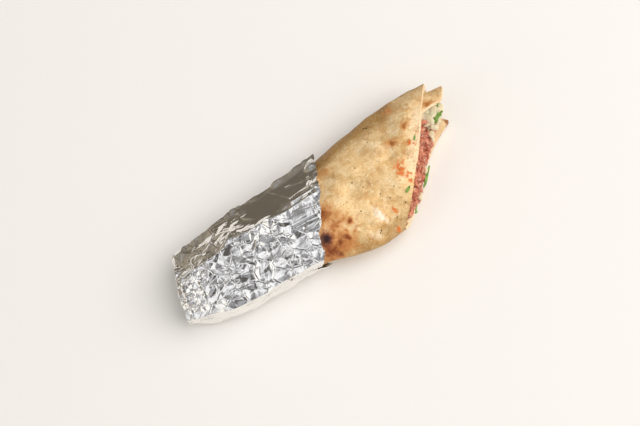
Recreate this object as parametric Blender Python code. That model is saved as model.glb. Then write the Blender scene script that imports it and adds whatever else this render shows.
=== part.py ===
"""Half of a filled paratha wrap, cut on the bias, with its closed end in crumpled aluminium foil.

The flatbread is one thin sheet rolled two and a quarter turns round beef, onion and herbs. Every
surface is found inside one envelope, the outside of the roll: a point has a distance along the
roll, an angle round it and a depth below the envelope. The foil is a pouch over the envelope, with
flatter facets on its upper side.

Metres, +Z up. +X runs along the roll from the foil end to the cut, and the wrap lies on its flat
underside. Angles run from the far side (+Y) over the top. The origin is under the middle of the box.
"""

import math

import bmesh
import bpy
import numpy as np
from mathutils import Euler, Matrix, Vector, noise

# The roll: half width, height, height of the underside and sideways shift at places along it
ROLL_STATIONS = (
    # along,  half width, height, underside, shift
    (0.0000, 0.0135, 0.0175, 0.0035, 0.0002),
    (0.0120, 0.0176, 0.0212, 0.0012, 0.0000),
    (0.0200, 0.0198, 0.0233, 0.0012, -0.0006),
    (0.0350, 0.0228, 0.0254, 0.0012, -0.0006),
    (0.0600, 0.0230, 0.0264, 0.0012, 0.0003),
    (0.0780, 0.0240, 0.0270, 0.0012, 0.0004),
    (0.0920, 0.0270, 0.0278, 0.0012, -0.0004),
    (0.1060, 0.0297, 0.0285, 0.0000, 0.0001),
    (0.1200, 0.0303, 0.0292, 0.0000, 0.0021),
    (0.1400, 0.0315, 0.0300, 0.0000, 0.0033),
    (0.1750, 0.0317, 0.0298, 0.0000, 0.0036),
)
WIDEST_AT = 0.53  # share of the height at which the roll is widest
TOP_FULLNESS = 1.22  # exponent of the top's dome, 1 being an ellipse and 2 a sharp lens
BELLY = 1.14  # the underside's dome before the table flattens it
SWELL = 0.0007  # lumps in the bread where it isn't under foil
SWELL_SIZE = 0.017

# The flatbread sheet
SHEET = 0.0015
LAYER_PITCH = 0.0021  # one turn is this much deeper than the one outside it
TURNS = 2.25
SEAM_ANGLE = math.radians(14)  # the free outer edge, at the far side
BREAD_START = 0.0105
END_LEAN = 0.0040  # the closed end is slanted: its far side starts further along than its middle

# The bias cut: where each edge of it lies across the roll
CUT_MIDDLE = 0.1422
CUT_SLOPE = 0.68
CUT_BULGE_NEAR = 0.0058
CUT_BULGE_FAR = 0.0023
HALF_CUT = 0.032
LIP_REACH = 0.0134  # the lower layers stand out past the upper ones, most at LIP_PLACE
LIP_PLACE = 0.0155
LIP_NEAR_SPREAD = 0.0087
LIP_FAR_SPREAD = 0.0062
LIP_POINT = 1.2  # exponent of the lip's outline: 1 is a sharp corner, 2 a round one
TONGUE_REACH = 0.0110  # a torn corner of the second layer at the far side
TONGUE_PLACE = 0.0236
TONGUE_HALF = 0.0054
TONGUE_SIDE = 0.0024

# The filling
FILLING_CLEARANCE = 0.0004
FILLING_START = 0.0200
SPLIT_ANGLE = math.radians(60)  # beef fills the near side as far as this angle, onion the rest
SPLIT_BOW = 0.0016
FILLING_SET_BACK = 0.0012
CRUMB_SIZE = 0.0032
CRUMBS = 46
BEEF_NEAR = -0.0215  # the crumbs lie across the cut face from here
BEEF_FAR = 0.0120
SLICE_LENGTH = 0.0085
SLICES = 10
ONION_NEAR = 0.0208
ONION_FAR = 0.0250

# The foil pouch
FOIL_CLEARANCE = 0.0004
FOIL_WALL = 0.0009
FOIL_START = 0.0060
FOIL_MOUTH = 0.0842
FOIL_MOUTH_LEAN = 0.0118  # the mouth's far side is this much further along than its middle
CREASE = 0.0011
CREASE_SIZE = 0.0085
FOIL_CORNERS = (  # the pouch's section is flat between these, as shares of the roll's half width and height
    # degrees, across, up
    (-24, 0.914, -0.407),
    (12, 0.985, 0.43),
    (77, 0.25, 1.12),
    (150, -0.94, 0.64),
    (204, -0.914, -0.407),
)
FLAP_REACH = 0.0065
FLAP_ANGLE = math.radians(212)
FLAP_HALF_ANGLE = math.radians(17)
END_STEP = 0.0007  # the blunt end bulges by this much at each of its rings
END_PLEAT = 0.0005
END_PLEATS = 9

# How finely the faceted solids follow their shapes
SPIRAL_STEPS = 84
BREAD_STEPS = 11
FOIL_ROUND = 48
FOIL_STEPS = 19
FOIL_LINING_STEPS = 8
FILLING_ARC = 18
SPLIT_STEPS = 6
FILLING_STEPS = 6
FACE_RINGS = 4

# The middle of the whole wrap's box, in distance along the roll and across it
BOX_MIDDLE = (0.0846, 0.0030)

FULL_TURN = 2 * math.pi


def along(column, x):
    """A column of the stations at distances x along the roll, on a smooth curve."""
    table = np.array(ROLL_STATIONS)
    place = np.clip(x, table[0, 0], table[-1, 0])
    below = np.clip(np.searchsorted(table[:, 0], place, side="right") - 1, 0, len(table) - 2)
    share = (place - table[below, 0]) / (table[below + 1, 0] - table[below, 0])
    slope = np.gradient(table[:, column], table[:, 0])
    span = table[below + 1, 0] - table[below, 0]
    start, end = table[below, column], table[below + 1, column]
    return (
        start * (2 * share**3 - 3 * share**2 + 1)
        + end * (3 * share**2 - 2 * share**3)
        + slope[below] * span * (share**3 - 2 * share**2 + share)
        + slope[below + 1] * span * (share**3 - share**2)
    )


def ease(low, high, value):
    """0 below low, 1 above high, and a smooth rise between."""
    share = np.clip((value - low) / (high - low), 0, 1)
    return share * share * (3 - 2 * share)


def lumps(points, size, offset=0.0):
    """Smooth noise from -1 to 1 at each point, with lumps of the given size."""
    return np.array([noise.noise(Vector(p) / size + Vector((offset, offset, offset))) for p in points])


def envelope(x, angle, depth):
    """Points at a depth below the outside of the roll. The three arguments are arrays of one length."""
    under = np.maximum(along(3, x), 0)
    height = along(2, x) - under
    middle = under + WIDEST_AT * height
    across, rise = np.cos(angle), np.sin(angle)
    top = (1 - WIDEST_AT) * height - depth
    bottom = WIDEST_AT * height * BELLY - depth
    y = along(4, x) + (along(1, x) - depth) * across
    z = middle + np.where(rise > 0, top * np.abs(rise) ** TOP_FULLNESS, -bottom * np.abs(rise))
    points = np.stack([x, y, np.maximum(z, under + depth)], axis=1)
    bare = ease(FOIL_MOUTH + 0.004, FOIL_MOUTH + 0.022, x) * ease(-0.25, 0.35, rise)
    skin = np.stack([x, 0.03 * across, 0.03 * rise], axis=1)
    points[:, 2] += SWELL * bare * lumps(skin, SWELL_SIZE)
    return points


def upper_cut(y):
    """How far along the roll the upper edge of the cut lies, at y across it."""
    return CUT_MIDDLE + CUT_SLOPE * y - np.where(y < 0, CUT_BULGE_NEAR, CUT_BULGE_FAR) * (y / HALF_CUT) ** 2


def lip(y):
    """How far the lower edge of the cut stands out past the upper one."""
    spread = np.where(y < LIP_PLACE, LIP_NEAR_SPREAD, LIP_FAR_SPREAD)
    return LIP_REACH * np.exp(-(np.abs((y - LIP_PLACE) / spread) ** LIP_POINT))


def bread_end(angle, depth):
    """Where along the roll the sheet ends, at each angle and depth of its spiral."""
    near_cut = envelope(np.full(len(angle), CUT_MIDDLE), angle, depth)
    y, z = near_cut[:, 1], near_cut[:, 2]
    lower = 1 - ease(0.15, 0.62, z / along(2, CUT_MIDDLE))
    second_layer = ease(0.4, 0.6, depth / LAYER_PITCH) * (1 - ease(1.3, 1.5, depth / LAYER_PITCH))
    tongue = ease(0, TONGUE_SIDE, TONGUE_HALF - np.abs(y - TONGUE_PLACE)) * (np.sin(angle) > 0)
    return upper_cut(y) + lip(y) * lower + TONGUE_REACH * tongue * second_layer


def mesh_object(name, points, faces, colour, roughness, metallic=0.0):
    """A named object from points and faces, with its own material."""
    mesh = bpy.data.meshes.new(name)
    mesh.from_pydata([tuple(p) for p in points], [], faces)
    clean = bmesh.new()
    clean.from_mesh(mesh)
    bmesh.ops.recalc_face_normals(clean, faces=clean.faces)
    bmesh.ops.triangulate(clean, faces=clean.faces)
    clean.to_mesh(mesh)
    clean.free()
    material = bpy.data.materials.new(name)
    material.use_nodes = True
    shader = material.node_tree.nodes["Principled BSDF"]
    shader.inputs["Base Color"].default_value = (*colour, 1)
    shader.inputs["Roughness"].default_value = roughness
    shader.inputs["Metallic"].default_value = metallic
    mesh.materials.append(material)
    made = bpy.data.objects.new(name, mesh)
    bpy.context.scene.collection.objects.link(made)
    return made


def grid_faces(rows, columns, first=0, wrap=False, flip=False):
    """Quads of a grid of points numbered row by row. With wrap, the last column meets the first."""
    faces = []
    for row in range(rows - 1):
        for column in range(columns if wrap else columns - 1):
            after = (column + 1) % columns
            quad = (
                first + row * columns + column,
                first + row * columns + after,
                first + (row + 1) * columns + after,
                first + (row + 1) * columns + column,
            )
            faces.append(quad[::-1] if flip else quad)
    return faces


def paratha():
    """The rolled flatbread: one sheet on a spiral, its two faces joined along their four edges."""
    angles = SEAM_ANGLE + np.linspace(0, TURNS * FULL_TURN, SPIRAL_STEPS + 1)
    depths = LAYER_PITCH * (angles - SEAM_ANGLE) / FULL_TURN
    ends = bread_end(angles, depths)
    starts = BREAD_START + END_LEAN * np.cos(angles)
    shares = np.linspace(0, 1, BREAD_STEPS + 1)
    columns = len(angles)
    sides = []
    for inward in (0.0, SHEET):
        rows = [envelope(starts + share * (ends - starts), angles, depths + inward) for share in shares]
        sides.append(np.concatenate(rows))
    count = len(sides[0])
    faces = grid_faces(len(shares), columns) + grid_faces(len(shares), columns, first=count, flip=True)
    edge = list(range(columns))
    edge += [row * columns + columns - 1 for row in range(1, len(shares))]
    edge += [count - 1 - step for step in range(1, columns)]
    edge += [row * columns for row in range(len(shares) - 2, 0, -1)]
    for here, there in zip(edge, edge[1:] + edge[:1]):
        faces.append((here, here + count, there + count, there))
    return mesh_object("paratha", np.concatenate(sides), faces, (0.72, 0.50, 0.27), 0.6)


def filling_core(name, near, colour):
    """One side of the filling, from inside the foil to the cut, with a lumpy face where it was cut."""
    depth = LAYER_PITCH * TURNS + SHEET + FILLING_CLEARANCE
    if near:
        arc = np.linspace(SPLIT_ANGLE, FULL_TURN - SPLIT_ANGLE, FILLING_ARC)
    else:
        arc = np.linspace(-SPLIT_ANGLE, SPLIT_ANGLE, FILLING_ARC)
    depths = np.full(FILLING_ARC, depth)
    shares = np.linspace(0, 1, SPLIT_STEPS + 2)[1:-1, None]
    bow = np.array([[0, SPLIT_BOW, 0]]) * np.sin(math.pi * shares)
    aside = np.array([0, -0.5 if near else 0.5, 0]) * FILLING_CLEARANCE

    def section(x_of, inner):
        """A ring of points: inner is 1 at the skin of the filling and 0 at its middle."""
        flat = envelope(np.full(FILLING_ARC, CUT_MIDDLE), arc, depths)
        skin = envelope(x_of(flat[:, 1], flat[:, 2]), arc, depths)
        split = skin[-1] + shares * (skin[0] - skin[-1]) + bow
        ring = np.concatenate([skin, split]) + aside
        return ring.mean(axis=0) + inner * (ring - ring.mean(axis=0))

    def face_x(y, z):
        lower = 1 - ease(0.15, 0.75, z / along(2, CUT_MIDDLE))
        return upper_cut(y) - FILLING_SET_BACK + 0.45 * lip(y) * lower

    rings = [
        section(lambda y, z, share=share: FILLING_START + share * (face_x(y, z) - FILLING_START), 1)
        for share in np.linspace(0, 1, FILLING_STEPS + 1)
    ]
    for ring_number in range(1, FACE_RINGS):
        ring = section(face_x, 1 - ring_number / FACE_RINGS)
        ring[:, 0] += 0.0008 * lumps(ring, 0.004, offset=5.0)
        rings.append(ring)
    middle_of_face = rings[-1].mean(axis=0)
    middle_of_start = rings[0].mean(axis=0)
    points = np.concatenate([*rings, [middle_of_face], [middle_of_start]])
    ring_size = FILLING_ARC + SPLIT_STEPS
    faces = grid_faces(len(rings), ring_size, wrap=True)
    last_ring = (len(rings) - 1) * ring_size
    for step in range(ring_size):
        after = (step + 1) % ring_size
        faces.append((last_ring + step, last_ring + after, len(points) - 2))
        faces.append((after, step, len(points) - 1))
    return mesh_object(name, points, faces, colour, 0.5)


def keep_outer_skin(mesh):
    """Keeps the largest closed skin of a mesh: hollows sealed by fusing fill up and loose scraps go."""
    skin = bmesh.new()
    skin.from_mesh(mesh)
    islands = []
    unseen = set(skin.verts)
    while unseen:
        front = [unseen.pop()]
        island = list(front)
        while front:
            beyond = {edge.other_vert(vert) for vert in front for edge in vert.link_edges} & unseen
            unseen -= beyond
            front = list(beyond)
            island += front
        islands.append(island)
    islands.sort(key=len)
    bmesh.ops.delete(skin, geom=[vert for island in islands[:-1] for vert in island], context="VERTS")
    skin.to_mesh(mesh)
    skin.free()


def fuse(core, pieces):
    """Joins the loose pieces to the core with one Boolean union, and removes them."""
    group = bpy.data.collections.new(core.name + "_pieces")
    for piece in pieces:
        group.objects.link(piece)
    join = core.modifiers.new("join", "BOOLEAN")
    join.operation = "UNION"
    join.operand_type = "COLLECTION"
    join.collection = group
    join.solver = "MANIFOLD"
    bpy.context.view_layer.update()
    joined = bpy.data.meshes.new_from_object(core.evaluated_get(bpy.context.evaluated_depsgraph_get()))
    core.modifiers.clear()
    keep_outer_skin(joined)
    core.data = joined
    for piece in pieces:
        bpy.data.objects.remove(piece)
    bpy.data.collections.remove(group)


def face_places(count, low, high, seed):
    """Evenly spread places on the cut face, as (y, share of the inner height from -1 to 1)."""
    golden = (math.sqrt(5) - 1) / 2
    places = []
    for number in range(count):
        y = low + (high - low) * (number + 0.5) / count
        places.append((y, 2 * ((seed + number * golden) % 1) - 1))
    return places


def inner_height(y, margin):
    """Lowest and highest z that the filling reaches at y across the cut, less a margin."""
    depth = LAYER_PITCH * TURNS + SHEET + FILLING_CLEARANCE
    angles = np.linspace(0, FULL_TURN, 181)
    ring = envelope(np.full(181, upper_cut(y)), angles, np.full(181, depth))
    upper, lower = ring[:91], ring[90:]
    top = np.interp(-y, -upper[:, 1], upper[:, 2])
    bottom = np.interp(y, lower[:, 1], lower[:, 2])
    return bottom + margin, top - margin


def lump(name, radius, place, stretch, seed):
    """A small irregular crumb: a ball of few faces pushed about by noise."""
    crumb = bmesh.new()
    bmesh.ops.create_uvsphere(crumb, u_segments=7, v_segments=4, radius=radius)
    for vert in crumb.verts:
        vert.co *= 1 + 0.35 * noise.noise(vert.co / radius * 1.3 + Vector((seed, 0, 0)))
        vert.co.x *= stretch
    turn = Euler((seed * 1.7, seed * 0.35, seed * 2.3)).to_matrix().to_4x4()
    crumb.transform(Matrix.Translation(place) @ turn)
    mesh = bpy.data.meshes.new(name)
    crumb.to_mesh(mesh)
    crumb.free()
    made = bpy.data.objects.new(name, mesh)
    bpy.context.scene.collection.objects.link(made)
    return made


def beef():
    """The minced beef: a core through the wrap with the crumbs that show at the cut fused on."""
    core = filling_core("beef_filling", True, (0.36, 0.13, 0.09))
    crumbs = []
    for number, (y, level) in enumerate(face_places(CRUMBS, BEEF_NEAR, BEEF_FAR, 0.31)):
        radius = CRUMB_SIZE * (0.40 + 0.2 * ((number * 0.37) % 1))
        bottom, top = inner_height(y, 1.45 * radius)
        z = (bottom + top) / 2 + level * max(top - bottom, 0) / 2
        lower = 1 - ease(0.15, 0.75, z / along(2, CUT_MIDDLE))
        x = upper_cut(y) - FILLING_SET_BACK + 0.45 * lip(y) * lower
        crumbs.append(lump(f"crumb_{number}", radius, (float(x), y, float(z)), 1.25, number))
    fuse(core, crumbs)
    return core


def onion():
    """The onion: a core with cut petals, each a short curved slice, fused on at the cut."""
    core = filling_core("onion_filling", False, (0.66, 0.56, 0.36))
    slices = []
    for number, (y, level) in enumerate(face_places(SLICES, ONION_NEAR, ONION_FAR, 0.62)):
        bottom, top = inner_height(y, 0.0021)
        z = float((bottom + top) / 2 + level * max(top - bottom, 0) / 2)
        petal = lump(f"slice_{number}", 0.0013, (0, 0, 0), 1.0, number)
        petal.data.transform(Matrix.Diagonal((SLICE_LENGTH / 0.0026, 1.15, 0.75, 1)))
        turn = Euler((0.5 * level, 0.25 * math.sin(number * 2.1), 0.22 * math.cos(number * 1.3)))
        place = Vector((float(upper_cut(y)) - 0.0004 + 0.0011 * math.cos(number * 2.4), y, z))
        petal.data.transform(Matrix.Translation(place) @ turn.to_matrix().to_4x4())
        slices.append(petal)
    fuse(core, slices)
    return core


def leaf(name, place, length, width, turn, wave):
    """A herb leaf or stem: a thin wavy blade, both faces split into the same triangles."""
    steps, thickness = 8, 0.0006
    shares = np.linspace(0, 1, steps + 1)
    half = 0.5 * width * np.sin(math.pi * (0.12 + 0.80 * shares))
    lift = wave * np.sin(2.2 * math.pi * shares)
    points = []
    for side in (0.5, -0.5):
        for share, wide, high in zip(shares, half, lift):
            for edge in (-1, 0, 1):
                fold = 0.35 * wide * abs(edge)
                points.append(((share - 0.5) * length, edge * wide, high + fold + side * thickness))
    count = len(points) // 2
    faces = grid_faces(steps + 1, 3) + grid_faces(steps + 1, 3, first=count, flip=True)
    rim = [0, 1, 2] + [row * 3 + 2 for row in range(1, steps + 1)]
    rim += [steps * 3 + 1, steps * 3] + [row * 3 for row in range(steps - 1, 0, -1)]
    for here, there in zip(rim, rim[1:] + rim[:1]):
        faces.append((here, here + count, there + count, there))
    made = mesh_object(name, points, faces, (0.10, 0.30, 0.04), 0.5)
    made.data.transform(Matrix.Translation(place) @ Euler(turn).to_matrix().to_4x4())
    return made


def herbs():
    """The green that shows at the cut, each piece lying just clear of the filling behind it."""
    leaf("herb_leaf_far", (0.1577, 0.0145, 0.0118), 0.0085, 0.0030, (0.5, -0.35, 0.62), 0.0004)
    leaf("herb_stem", (0.1410, -0.0062, 0.0078), 0.0115, 0.0017, (0.9, 0.0, 0.80), 0.0003)
    leaf("herb_leaf_near", (0.1280, -0.0208, 0.0150), 0.0042, 0.0024, (1.2, 0.2, 0.95), 0.0002)


def crumple(x, angle):
    """How far crumpled foil stands off at each point: sharp-edged folds of two sizes."""
    skin = np.stack([x, 0.021 * np.cos(angle), 0.014 * np.sin(angle)], axis=1)
    large = np.abs(lumps(skin, CREASE_SIZE, offset=11.0))
    small = np.abs(lumps(skin, 0.45 * CREASE_SIZE, offset=23.0))
    return CREASE * (1.4 * large + 0.6 * small) * ease(-0.95, -0.55, np.sin(angle))


def foil_skin(x, angle, stand):
    """Points of the pouch's outer skin: the envelope's section, stood off and drawn flat between corners."""
    corners = np.array(FOIL_CORNERS)
    turned = (angle + math.pi / 2) % FULL_TURN - math.pi / 2
    flat = (turned > math.radians(corners[0, 0])) & (turned < math.radians(corners[-1, 0]))
    rise = np.sin(angle)
    round_up = np.where(rise > 0, np.abs(rise) ** TOP_FULLNESS, rise)
    across = np.where(flat, np.interp(turned, np.radians(corners[:, 0]), corners[:, 1]), np.cos(angle))
    up = np.where(flat, np.interp(turned, np.radians(corners[:, 0]), corners[:, 2]), round_up)
    under = np.maximum(along(3, x), 0)
    height = along(2, x) - under
    top = (1 - WIDEST_AT) * height + stand
    bottom = WIDEST_AT * height * BELLY + stand
    y = along(4, x) + (along(1, x) + stand) * across
    z = under + WIDEST_AT * height + np.where(up > 0, top, bottom) * up
    return np.stack([x, y, np.maximum(z, under - stand)], axis=1)


def mouth(angle):
    """How far along the roll the foil's open edge lies, at each angle round it."""
    away = np.abs((angle - FLAP_ANGLE + math.pi) % FULL_TURN - math.pi)
    flap = FLAP_REACH * np.clip(1 - away / FLAP_HALF_ANGLE, 0, 1)
    ripple = 0.0008 * np.sin(5 * angle + 0.6) + 0.0005 * np.sin(11 * angle)
    return FOIL_MOUTH + FOIL_MOUTH_LEAN * np.cos(angle - math.radians(20)) + flap + ripple


def foil():
    """The foil pouch: an outer skin with folds, a blunt closed end, and a smooth lining."""
    angles = np.linspace(0, FULL_TURN, FOIL_ROUND, endpoint=False)
    lean = END_LEAN * np.cos(angles)
    closing = (0.80, 0.5, 0.2)

    def skin_ring(share, close=1.0):
        """A ring of the outer skin, from the closed end at share 0 to the mouth at 1."""
        start = FOIL_START + lean
        x = start + share * (mouth(angles) - start)
        stand = crumple(x, angles) * (0.55 + 0.45 * min(1, share / 0.1))
        return drawn_in(foil_skin(x, angles, FOIL_CLEARANCE + FOIL_WALL + stand), 0, close)

    def lining_ring(share, close=1.0):
        """A ring of the lining, the same way round."""
        start = BREAD_START - FOIL_WALL + lean
        x = start + share * (mouth(angles) - start)
        return drawn_in(envelope(x, angles, np.full(FOIL_ROUND, -FOIL_CLEARANCE)), FOIL_WALL, close)

    def drawn_in(points, floor, close):
        """Flattens a ring on the floor and draws it in towards its middle."""
        points[:, 2] = np.maximum(points[:, 2], floor)
        centre = points.mean(axis=0)
        points[:, 1:] = centre[1:] + close * (points[:, 1:] - centre[1:])
        return points

    skin = [skin_ring(share) for share in np.linspace(1, 0, FOIL_STEPS + 1)]
    for number, close in enumerate(closing):
        end = skin_ring(0, close)
        end[:, 0] -= END_STEP * (number + 1) - END_PLEAT * np.cos(END_PLEATS * angles) * close
        skin.append(end)
    lining = [lining_ring(0, close) for close in reversed(closing)]
    lining += [lining_ring(share) for share in np.linspace(0, 1, FOIL_LINING_STEPS + 1)]
    points = np.concatenate([*skin, *lining, [skin[-1].mean(axis=0)], [lining[0].mean(axis=0)]])
    first_lining = len(skin) * FOIL_ROUND
    last_skin = first_lining - FOIL_ROUND
    last_lining = first_lining + (len(lining) - 1) * FOIL_ROUND
    faces = grid_faces(len(skin), FOIL_ROUND, wrap=True)
    faces += grid_faces(len(lining), FOIL_ROUND, first=first_lining, wrap=True)
    for step in range(FOIL_ROUND):
        after = (step + 1) % FOIL_ROUND
        faces.append((last_skin + step, last_skin + after, len(points) - 2))
        faces.append((first_lining + after, first_lining + step, len(points) - 1))
        faces.append((last_lining + step, last_lining + after, after, step))
    return mesh_object("foil_wrapper", points, faces, (0.62, 0.62, 0.62), 0.25, metallic=1.0)


def centre_on_origin():
    """Hangs every piece on one empty, placed so that the origin is under the middle of the whole."""
    carrier = bpy.data.objects.new("wrap_half", None)
    carrier.location = (-BOX_MIDDLE[0], -BOX_MIDDLE[1], 0)
    bpy.context.scene.collection.objects.link(carrier)
    for piece in bpy.context.scene.objects:
        if piece.type == "MESH":
            piece.parent = carrier


def main():
    for old in list(bpy.data.objects):
        bpy.data.objects.remove(old)
    paratha()
    beef()
    onion()
    herbs()
    foil()
    centre_on_origin()


main()
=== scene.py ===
"""Half of a beef and onion paratha wrap, cut on the bias, its closed end in crumpled kitchen foil.

The wrap is put together as a cook does it: the flatbread is rolled round the beef, the onion and the
herbs, the closed end goes into foil, and the roll is cut across. Metres, +Z up, +X from the foil end to
the cut. Places on the roll are given by a distance along it from the foil end and an angle round it,
from the far side (+Y) over the top.
"""

import math

import bmesh
import bpy
import numpy as np
from mathutils import Matrix, Vector, noise
from mathutils.bvhtree import BVHTree
from mathutils.geometry import delaunay_2d_cdt


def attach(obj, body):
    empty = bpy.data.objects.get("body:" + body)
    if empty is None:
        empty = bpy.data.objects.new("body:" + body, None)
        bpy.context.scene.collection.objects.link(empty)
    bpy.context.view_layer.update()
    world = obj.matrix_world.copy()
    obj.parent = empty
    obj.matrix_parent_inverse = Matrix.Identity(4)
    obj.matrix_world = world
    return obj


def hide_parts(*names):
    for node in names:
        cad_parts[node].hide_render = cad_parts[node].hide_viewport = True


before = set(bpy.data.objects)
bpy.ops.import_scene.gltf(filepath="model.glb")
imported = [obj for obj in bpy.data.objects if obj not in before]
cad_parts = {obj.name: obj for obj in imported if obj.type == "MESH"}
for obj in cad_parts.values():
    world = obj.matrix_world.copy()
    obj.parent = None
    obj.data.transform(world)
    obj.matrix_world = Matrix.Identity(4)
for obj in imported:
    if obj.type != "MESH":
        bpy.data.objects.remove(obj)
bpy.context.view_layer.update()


# ----------------------------------------------------------------------------
# Flatbread: one paratha, fried on a griddle, 1.5 mm thick and rolled two and a quarter turns. It is
# pale where the dough stayed flat and toasted where it blistered. Painted shade darkens the roll's sides
# and valleys, and painted highlights pale its top near the cut and one sheen. A knife cut it on the bias,
# and its lower layers and one torn corner stand out past the upper ones.
# ----------------------------------------------------------------------------
ROLL_MIDDLE = (0.0846, 0.0030)  # the wrap's middle, in distance along the roll and across it
ROLL_STATIONS = (
    # along,  half width, height, underside, shift
    (0.0000, 0.0135, 0.0175, 0.0035, 0.0002),
    (0.0120, 0.0176, 0.0212, 0.0012, 0.0000),
    (0.0200, 0.0198, 0.0233, 0.0012, -0.0006),
    (0.0350, 0.0228, 0.0254, 0.0012, -0.0006),
    (0.0600, 0.0230, 0.0264, 0.0012, 0.0003),
    (0.0780, 0.0240, 0.0270, 0.0012, 0.0004),
    (0.0920, 0.0270, 0.0278, 0.0012, -0.0004),
    (0.1060, 0.0297, 0.0285, 0.0000, 0.0001),
    (0.1200, 0.0303, 0.0292, 0.0000, 0.0021),
    (0.1400, 0.0315, 0.0300, 0.0000, 0.0033),
    (0.1750, 0.0317, 0.0298, 0.0000, 0.0036),
)
HALF_WIDTH, HEIGHT, UNDERSIDE, SHIFT = 1, 2, 3, 4  # the stations' columns
WIDEST_AT = 0.53  # share of the height
TOP_FULLNESS = 1.22
BELLY = 1.14
FULL_TURN = 2 * math.pi

SHEET = 0.0015
LAYER_PITCH = 0.0021
TURNS = 2.25
SEAM_ANGLE = math.radians(14)
BREAD_START = 0.0105
END_LEAN = 0.0040
FOIL_MOUTH = 0.0842
BARE_FROM = 0.066  # the bread is modelled finely from here on, and coarsely where foil hides it

CUT_MIDDLE = 0.1422
CUT_SLOPE = 0.68
CUT_BULGE_NEAR = 0.0058
CUT_BULGE_FAR = 0.0023
HALF_CUT = 0.032
LIP_REACH = 0.0134
LIP_PLACE = 0.0155
LIP_NEAR_SPREAD = 0.0087
LIP_FAR_SPREAD = 0.0062
LIP_POINT = 1.2
TONGUE_REACH = 0.0110
TONGUE_PLACE = 0.0236
TONGUE_HALF = 0.0054
TONGUE_SIDE = 0.0024

CHAR_SPOTS = (  # along, across, radius and strength, as in each table of spots
    (0.0825, -0.0146, 0.0030, 1.0),
    (0.0812, -0.0168, 0.0022, 0.7),
)
BLISTERS = (
    (0.0971, -0.0131, 0.0014, 0.90),
    (0.0971, -0.0178, 0.0013, 0.75),
    (0.0924, -0.0189, 0.0015, 0.95),
    (0.0930, -0.0160, 0.0013, 0.80),
    (0.0878, -0.0189, 0.0017, 1.00),
    (0.0853, -0.0233, 0.0019, 0.85),
    (0.0905, -0.0127, 0.0016, 0.75),
    (0.0880, -0.0105, 0.0024, 0.62),
    (0.0872, -0.0042, 0.0050, 0.72),
    (0.0895, -0.0110, 0.0060, 0.69),
    (0.0885, -0.0185, 0.0062, 0.73),
    (0.0830, -0.0205, 0.0050, 0.80),
    (0.1400, 0.0285, 0.0022, 0.60),
    (0.1430, 0.0155, 0.0019, 0.62),
    (0.1337, 0.0107, 0.0026, 0.64),
    (0.1592, 0.0205, 0.0028, 0.60),
    (0.1410, 0.0070, 0.0011, 0.70),
)
SAUCE_SPOTS = (
    (0.1312, -0.0006, 0.0028, 0.60),
    (0.1310, -0.0042, 0.0030, 0.66),
    (0.1320, -0.0076, 0.0028, 0.58),
    (0.1324, -0.0105, 0.0014, 0.60),
    (0.1428, 0.0043, 0.0009, 0.90),
    (0.1409, 0.0061, 0.0008, 0.90),
    (0.1190, -0.0188, 0.0012, 0.75),
    (0.1156, -0.0262, 0.0013, 0.80),
    (0.1345, -0.0080, 0.0011, 0.70),
    (0.1560, 0.0165, 0.0012, 0.80),
)
PALE_AND_SHEEN_SPOTS = (  # floury dough; past 1 it is a painted sheen, nearly white
    (0.1098, -0.0132, 0.0014, 1.10),
    (0.1104, -0.0152, 0.0018, 1.50),
    (0.1111, -0.0171, 0.0020, 1.70),
    (0.1119, -0.0193, 0.0018, 1.70),
    (0.1127, -0.0212, 0.0014, 1.35),
    (0.1035, -0.0232, 0.0022, 0.90),
    (0.1062, -0.0250, 0.0026, 1.00),
    (0.1125, -0.0110, 0.0034, 0.60),
    (0.0985, -0.0060, 0.0040, 0.50),
    (0.1250, 0.0060, 0.0036, 0.55),
    (0.1150, 0.0080, 0.0040, 0.45),
    (0.1010, 0.0020, 0.0036, 0.50),
)
DENTS = (  # along, across, radius, depth; a negative depth is a bump
    (0.1370, 0.0270, 0.0050, 0.0010),
    (0.1345, 0.0190, 0.0040, 0.0012),
    (0.1320, 0.0115, 0.0035, 0.0010),
    (0.1300, 0.0055, 0.0032, 0.0006),
    (0.1230, 0.0150, 0.0060, -0.0007),
    (0.1115, -0.0180, 0.0040, -0.0009),
    (0.1040, -0.0170, 0.0045, 0.0006),
    (0.1500, 0.0225, 0.0045, -0.0006),
    (0.1060, 0.0060, 0.0070, -0.0005),
    (0.0965, 0.0120, 0.0050, 0.0007),
    (0.1180, -0.0040, 0.0050, 0.0006),
)
OILY_SHADED_VALLEYS = (  # the dough is thin and oily here, and painted shade darkens it along the dents' grooves
    (0.1360, 0.0270, 0.0036, 0.75),
    (0.1345, 0.0215, 0.0034, 0.80),
    (0.1325, 0.0150, 0.0032, 0.70),
    (0.1220, 0.0120, 0.0040, 0.45),
    (0.0990, 0.0120, 0.0055, 0.45),
    (0.1080, 0.0010, 0.0040, 0.40),
    (0.1150, -0.0150, 0.0050, 0.35),
)
SPOT_FADE = 0.7
SPOT_WANDER = 0.0011  # how far the spots' outlines wander, and over what length
SPOT_WANDER_SIZE = 0.0030
RELIEF = (  # height, size and noise offset of the skin's lumps
    (0.00080, 0.0170, 0.0),
    (0.00042, 0.0068, 3.0),
    (0.00017, 0.0027, 7.0),
)
BLISTER_RISE = 0.00025
FOIL_PRESS = 0.15  # share of the relief that is left under the foil


def along(column, x):
    """A column of the stations at distances x along the roll, on a smooth curve."""
    table = np.array(ROLL_STATIONS)
    place = np.clip(x, table[0, 0], table[-1, 0])
    below = np.clip(np.searchsorted(table[:, 0], place, side="right") - 1, 0, len(table) - 2)
    share = (place - table[below, 0]) / (table[below + 1, 0] - table[below, 0])
    slope = np.gradient(table[:, column], table[:, 0])
    span = table[below + 1, 0] - table[below, 0]
    start, end = table[below, column], table[below + 1, column]
    return (
        start * (2 * share**3 - 3 * share**2 + 1)
        + end * (3 * share**2 - 2 * share**3)
        + slope[below] * span * (share**3 - 2 * share**2 + share)
        + slope[below + 1] * span * (share**3 - share**2)
    )


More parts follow.
